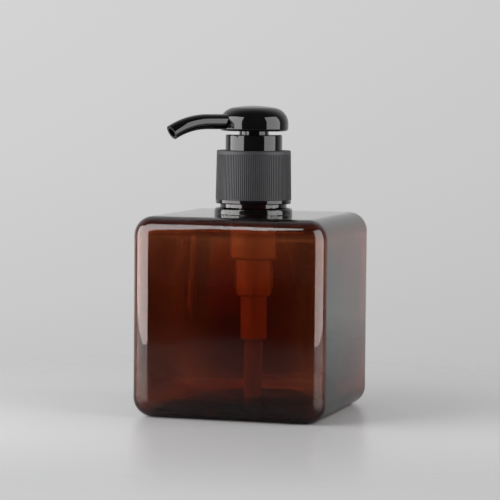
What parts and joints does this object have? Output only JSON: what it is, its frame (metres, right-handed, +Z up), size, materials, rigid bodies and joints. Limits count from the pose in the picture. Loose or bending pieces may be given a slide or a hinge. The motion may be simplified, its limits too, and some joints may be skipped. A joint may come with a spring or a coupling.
{
  "type": "pump oil bottle",
  "caption": "Square amber plastic bottle with rounded edges and a screw-on black lotion pump that presses down, turns and locks.",
  "frame": {"origin": "on the table under the middle of the bottle's base, on the axis of the neck", "axes": "+Z up along the neck and the pump, X and Y square to the flat sides of the bottle, the spout over the corner at -X -Y"},
  "size_m": [0.0676, 0.0676, 0.106],
  "materials": {
    "amber_plastic": "clear amber, blow moulded, glossy",
    "black_satin": "black moulded, fine upright ribs",
    "black_gloss": "black moulded, glossy",
    "natural_plastic": "natural, milky, moulded",
    "white_plastic": "white, waxy, moulded",
    "white_foam": "closed-cell foam sheet",
    "steel": "bright drawn stainless"
  },
  "bodies": {
    "bottle": {"bottle": "amber_plastic"},
    "pump_core": {"housing": "natural_plastic", "chaplet": "black_gloss", "gasket": "white_foam", "dip_tube": "natural_plastic", "return_spring": "steel"},
    "closure": {"closure": "black_satin"},
    "plunger": {"piston": "white_plastic"},
    "head": {"actuator": "black_gloss", "stem": "black_gloss", "piston_seat": "white_plastic"},
    "inlet_valve": {"inlet_ball": "steel"},
    "outlet_valve": {"outlet_ball": "steel"}
  },
  "joints": [
    {"name": "pump_rise", "type": "slide", "parent": "bottle", "child": "pump_core", "axis": [0, 0, 1], "range_m": [0, 0.0048]},
    {"name": "closure_turn", "type": "hinge", "parent": "pump_core", "child": "closure", "pos_m": [0, 0, 0.08], "axis": [0, 0, 1], "range_deg": [0, 540]},
    {"name": "head_stroke", "type": "slide", "parent": "pump_core", "child": "plunger", "axis": [0, 0, 1], "range_m": [0, 0.012], "stiffness_N_per_m": 500, "springref_m": 0.024, "deforming": ["return_spring"]},
    {"name": "head_turn", "type": "hinge", "parent": "plunger", "child": "head", "pos_m": [0, 0, 0.1], "axis": [0, 0, 1], "continuous": true},
    {"name": "inlet_ball_lift", "type": "slide", "parent": "pump_core", "child": "inlet_valve", "axis": [0, 0, 1], "range_m": [0, 0.0015]},
    {"name": "outlet_ball_lift", "type": "slide", "parent": "head", "child": "outlet_valve", "axis": [0, 0, 1], "range_m": [0, 0.0015]}
  ],
  "couplings": [
    {"joint": "pump_rise", "follows": "closure_turn", "m_per_rad": 0.00050532}
  ]
}
